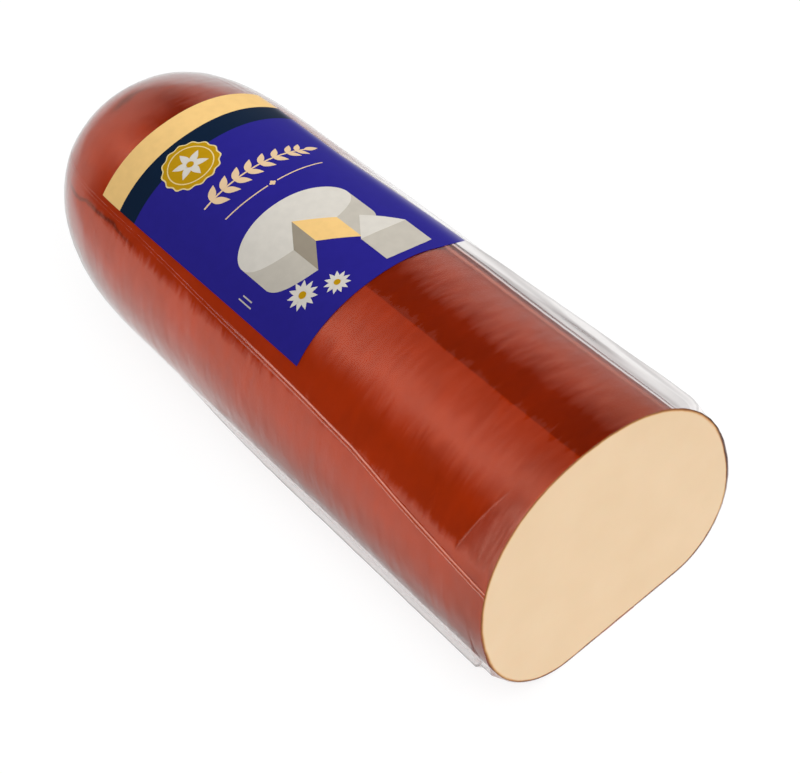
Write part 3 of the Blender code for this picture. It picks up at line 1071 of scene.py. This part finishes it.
def make_label(materials):
    """The label's paper: a thin curved sheet with its three fields of colour."""
    left = float(np.interp(LABEL_LEFT_TURN, ARC_TURNS, ARC_LENGTHS))
    edges = (0.0, LABEL_LENGTH - CREAM_BAND - NAVY_BAND, LABEL_LENGTH - CREAM_BAND, LABEL_LENGTH)
    parts = [np.linspace(low, high, max(round((high - low) / 0.0015), 2), endpoint=False)
             for low, high in zip(edges, edges[1:])]
    ups = np.concatenate(parts + [[LABEL_LENGTH]])
    up, share = np.meshgrid(ups, np.linspace(0, 1, 90), indexing="ij")
    right = np.interp(label_right_turn(LABEL_FROM_CUT + up), ARC_TURNS, ARC_LENGTHS)
    across = left + (right - left) * share
    over = label_points(up, across, LABEL_THICKNESS)
    under = label_points(up, across, 0.0)
    rows, columns = up.shape
    count = rows * columns
    faces = grid_faces(rows, columns, closed=False)
    faces += grid_faces(rows, columns, closed=False, first=count, flip=True)
    number = np.arange(count).reshape(rows, columns)
    sides = (number[:, 0], number[-1, 1:], number[-2::-1, -1], number[0, -2:0:-1])
    rim = np.concatenate(sides).tolist()
    for corner, after in zip(rim, rim[1:] + rim[:1]):
        faces.append((corner, corner + count, after + count, after))
    field_of_row = np.searchsorted(np.array(edges[1:3]) - 1e-6, ups, side="right")
    fields = [field_of_row[min(corner % count // columns for corner in face)] for face in faces]
    points = np.concatenate([over.reshape(-1, 3), under.reshape(-1, 3)])
    slots = (materials["blue"], materials["navy"], materials["cream"])
    piece = make_piece("label_paper", points, faces, slots, sharp_degrees=40)
    piece.data.polygons.foreach_set("material_index", np.array(fields, dtype=np.int32))
    glare = np.exp(-(right - across).ravel() / EDGE_GLARE_REACH)
    set_values(piece, "edge_glare", np.concatenate([glare, glare]))
    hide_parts("label")


def make_print(name, outlines, material, level=0):
    """A printed shape on the label: flat outlines of (across, up), laid over the curve."""
    mesh = bmesh.new()
    for outline in outlines:
        mesh.faces.new([mesh.verts.new((across, up, 0)) for across, up in outline])
    bmesh.ops.remove_doubles(mesh, verts=mesh.verts, dist=1e-6)
    bmesh.ops.triangulate(mesh, faces=mesh.faces)
    for axis, spacing in ((0, 0.0015), (1, 0.003)):
        places = [vertex.co[axis] for vertex in mesh.verts]
        low, high = min(places), max(places)
        normal = (1, 0, 0) if axis == 0 else (0, 1, 0)
        for step in range(1, math.ceil((high - low) / spacing)):
            geometry = mesh.verts[:] + mesh.edges[:] + mesh.faces[:]
            place = [coordinate * (low + step * spacing) for coordinate in normal]
            bmesh.ops.bisect_plane(mesh, geom=geometry, plane_co=place, plane_no=normal)
    extruded = bmesh.ops.extrude_face_region(mesh, geom=mesh.faces[:], use_keep_orig=True)
    for element in extruded["geom"]:
        if isinstance(element, bmesh.types.BMVert):
            element.co.z = 1.0
    bmesh.ops.recalc_face_normals(mesh, faces=mesh.faces)
    mesh.verts.index_update()
    flat = np.array([vertex.co[:] for vertex in mesh.verts])
    faces = [[vertex.index for vertex in face.verts] for face in mesh.faces]
    mesh.free()
    height = LABEL_THICKNESS + INK_HEIGHT * (level + 1) * flat[:, 2] - 0.00002 * (1 - flat[:, 2])
    placed = label_points(flat[:, 1], flat[:, 0], height)
    make_piece(name, placed, faces, (material,), sharp_degrees=40)


def rosette(across, up, radius, count, lobes=0, depth=0.0):
    """Return a round outline, with even lobes where it has any."""
    outline = []
    for angle in np.linspace(0, math.tau, count, endpoint=False):
        reach = radius * (1 + depth * math.cos(lobes * angle))
        outline.append((across + reach * math.cos(angle), up + reach * math.sin(angle)))
    return outline


def ring_band(outer, inner):
    """Return the quads between two outlines that have the same number of points."""
    quads = []
    for index, point in enumerate(outer):
        after = (index + 1) % len(outer)
        quads.append((point, outer[after], inner[after], inner[index]))
    return quads


def leaf(across, up, length, width, angle):
    """Return a pointed leaf that starts at a place and grows at an angle."""
    steps = 12
    rising, falling = [], []
    for step in range(steps + 1):
        share = step / steps
        half = width / 2 * math.sin(math.pi * share ** 0.8)
        for side, edge in ((1, rising), (-1, falling)):
            along, off = length * share, side * half
            edge.append((across + along * math.cos(angle) - off * math.sin(angle),
                         up + along * math.sin(angle) + off * math.cos(angle)))
    return rising + falling[-2:0:-1]


def ribbon(places, width):
    """Return the quads of a thin line through places."""
    quads = []
    for (across, up), (next_across, next_up) in zip(places, places[1:]):
        run = math.hypot(next_across - across, next_up - up)
        off_across = -(next_up - up) / run * width / 2
        off_up = (next_across - across) / run * width / 2
        quads.append((
            (across + off_across, up + off_up), (across - off_across, up - off_up),
            (next_across - off_across, next_up - off_up), (next_across + off_across, next_up + off_up),
        ))
    return quads


SEAL_PLACE = (-0.0085, 0.0955)
SEAL_RADIUS = 0.0112


def make_seal(materials):
    """A gold rosette with a pale line and a simple flower."""
    across, up = SEAL_PLACE
    rim, field = (rosette(across, up, SEAL_RADIUS * share, 120, 14, 0.035) for share in (1, 0.95))
    make_print("seal_rim", [rim], materials["pale_gold"])
    make_print("seal_field", [field], materials["gold"], level=1)
    outer, inner = (rosette(across, up, SEAL_RADIUS * share, 48) for share in (0.80, 0.76))
    make_print("seal_line", ring_band(outer, inner), materials["pale_gold"], level=2)
    petals = [leaf(across, up, SEAL_RADIUS * 0.62, SEAL_RADIUS * 0.26, math.radians(30 + 60 * index))
              for index in range(6)]
    make_print("seal_flower", petals, materials["milk_light"], level=2)
    centre = [rosette(across, up, SEAL_RADIUS * 0.13, 20)]
    make_print("seal_flower_centre", centre, materials["gold"], level=3)


SPRIG_LEFT = -0.0175
SPRIG_RIGHT = 0.0265
SPRIG_UP = 0.0745
SPRIG_PAIRS = 8


def make_sprig(materials):
    """A cream sprig of paired leaves across the label, and a fine rule under it."""
    stem = []
    for step in range(25):
        share = step / 24
        up = SPRIG_UP + 0.0012 * math.sin(math.pi * share)
        stem.append((SPRIG_LEFT + (SPRIG_RIGHT - SPRIG_LEFT) * share, up))
    make_print("sprig_stem", ribbon(stem, 0.0007), materials["ivory"])
    leaves = []
    for pair in range(SPRIG_PAIRS):
        place = stem[2 + 3 * pair - (pair > 6)]
        size = 0.0072 - 0.0003 * pair
        for side in (-1, 1):
            leaves.append(leaf(place[0], place[1], size, size * 0.42, side * math.radians(48)))
    leaves.append(leaf(stem[-1][0] - 0.0004, stem[-1][1], 0.0060, 0.0025, 0.0))
    make_print("sprig_leaves", leaves, materials["ivory"], level=1)
    rule_up = SPRIG_UP - 0.0105
    rules = ribbon([(-0.0155, rule_up), (0.0035, rule_up)], 0.0005)
    rules += ribbon([(0.0075, rule_up), (0.0265, rule_up)], 0.0005)
    make_print("sprig_rule", rules, materials["ivory"])
    bead = [rosette(0.0055, rule_up, 0.0011, 32, 4, 0.18)]
    make_print("sprig_bead", bead, materials["ivory"], level=1)


WHEEL_PLACE = (-0.0015, 0.0430)
WHEEL_HALF_ACROSS = 0.0235
WHEEL_HALF_UP = 0.0115
WHEEL_DEPTH = 0.0140
WEDGE_START = math.radians(-108)
WEDGE_END = math.radians(-60)
WEDGE_SHIFT = (0.0180, -0.0140)


def on_wheel(angle, drop=0.0):
    """Return a place on the rim of the wheel's top, or straight below it."""
    across, up = WHEEL_PLACE
    return (across + WHEEL_HALF_ACROSS * math.cos(angle), up + WHEEL_HALF_UP * math.sin(angle) - drop)


def wheel_side(start, end, count, shift=(0.0, 0.0)):
    """Return the outline of the wheel's side wall between two angles."""
    angles = np.linspace(start, end, count)
    outline = [on_wheel(angle) for angle in angles]
    outline += [on_wheel(angle, WHEEL_DEPTH) for angle in angles[::-1]]
    return [(across + shift[0], up + shift[1]) for across, up in outline]


def make_wheel(materials):
    """A plain cheese wheel with one wedge drawn out of it, in flat fields of off-white."""
    across, up = WHEEL_PLACE
    below = (across, up - WHEEL_DEPTH)
    make_print("wheel_side", [wheel_side(-math.pi, WEDGE_START, 24), wheel_side(WEDGE_END, 0.0, 20)],
               materials["milk"])
    top = [on_wheel(angle) for angle in np.linspace(WEDGE_END, math.tau + WEDGE_START, 60)]
    make_print("wheel_top", [top + [WHEEL_PLACE]], materials["milk_light"], level=1)
    start_face = [WHEEL_PLACE, on_wheel(WEDGE_START), on_wheel(WEDGE_START, WHEEL_DEPTH), below]
    end_face = [WHEEL_PLACE, on_wheel(WEDGE_END), on_wheel(WEDGE_END, WHEEL_DEPTH), below]
    make_print("wheel_cut_left", [start_face], materials["milk_shade"], level=1)
    make_print("wheel_cut_right", [end_face], materials["cream"], level=1)

    shift_across, shift_up = WEDGE_SHIFT
    arc = [on_wheel(angle) for angle in np.linspace(WEDGE_START, WEDGE_END, 16)]
    wedge_top = [(place[0] + shift_across, place[1] + shift_up) for place in [WHEEL_PLACE] + arc]
    side = wheel_side(WEDGE_START, WEDGE_END, 16, WEDGE_SHIFT)
    make_print("wedge_side", [side], materials["milk"], level=2)
    make_print("wedge_top", [wedge_top], materials["milk_light"], level=3)


FLOWERS = ((-0.0185, 0.0150, 0.0058), (-0.0080, 0.0085, 0.0048))


def make_flowers(materials):
    """Two white daisies with gold centres, below the wheel's left."""
    for index, (across, up, radius) in enumerate(FLOWERS, start=1):
        petals = [leaf(across, up, radius, radius * 0.36, math.tau * (petal + 0.3 * index) / 11)
                  for petal in range(11)]
        make_print(f"flower_{index}_petals", petals, materials["milk_light"], level=1)
        centre = [rosette(across, up, radius * 0.25, 24)]
        make_print(f"flower_{index}_centre", centre, materials["gold"], level=2)


def make_small_rules(materials):
    """Two short fine rules by the label's left edge."""
    rules = ribbon([(-0.0330, 0.0300), (-0.0330, 0.0370)], 0.0005)
    rules += ribbon([(-0.0312, 0.0310), (-0.0312, 0.0360)], 0.0005)
    make_print("corner_rules", rules, materials["milk"])


make_camera()
make_floor()
make_studio()
make_lights()
make_cheese()
make_film()
print_materials = {name: print_material("print_" + name, colour) for name, colour in LABEL_COLOURS.items()}
for make_printed in (make_label, make_seal, make_sprig, make_wheel, make_flowers, make_small_rules):
    make_printed(print_materials)

bpy.context.scene.view_settings.view_transform = "Standard"
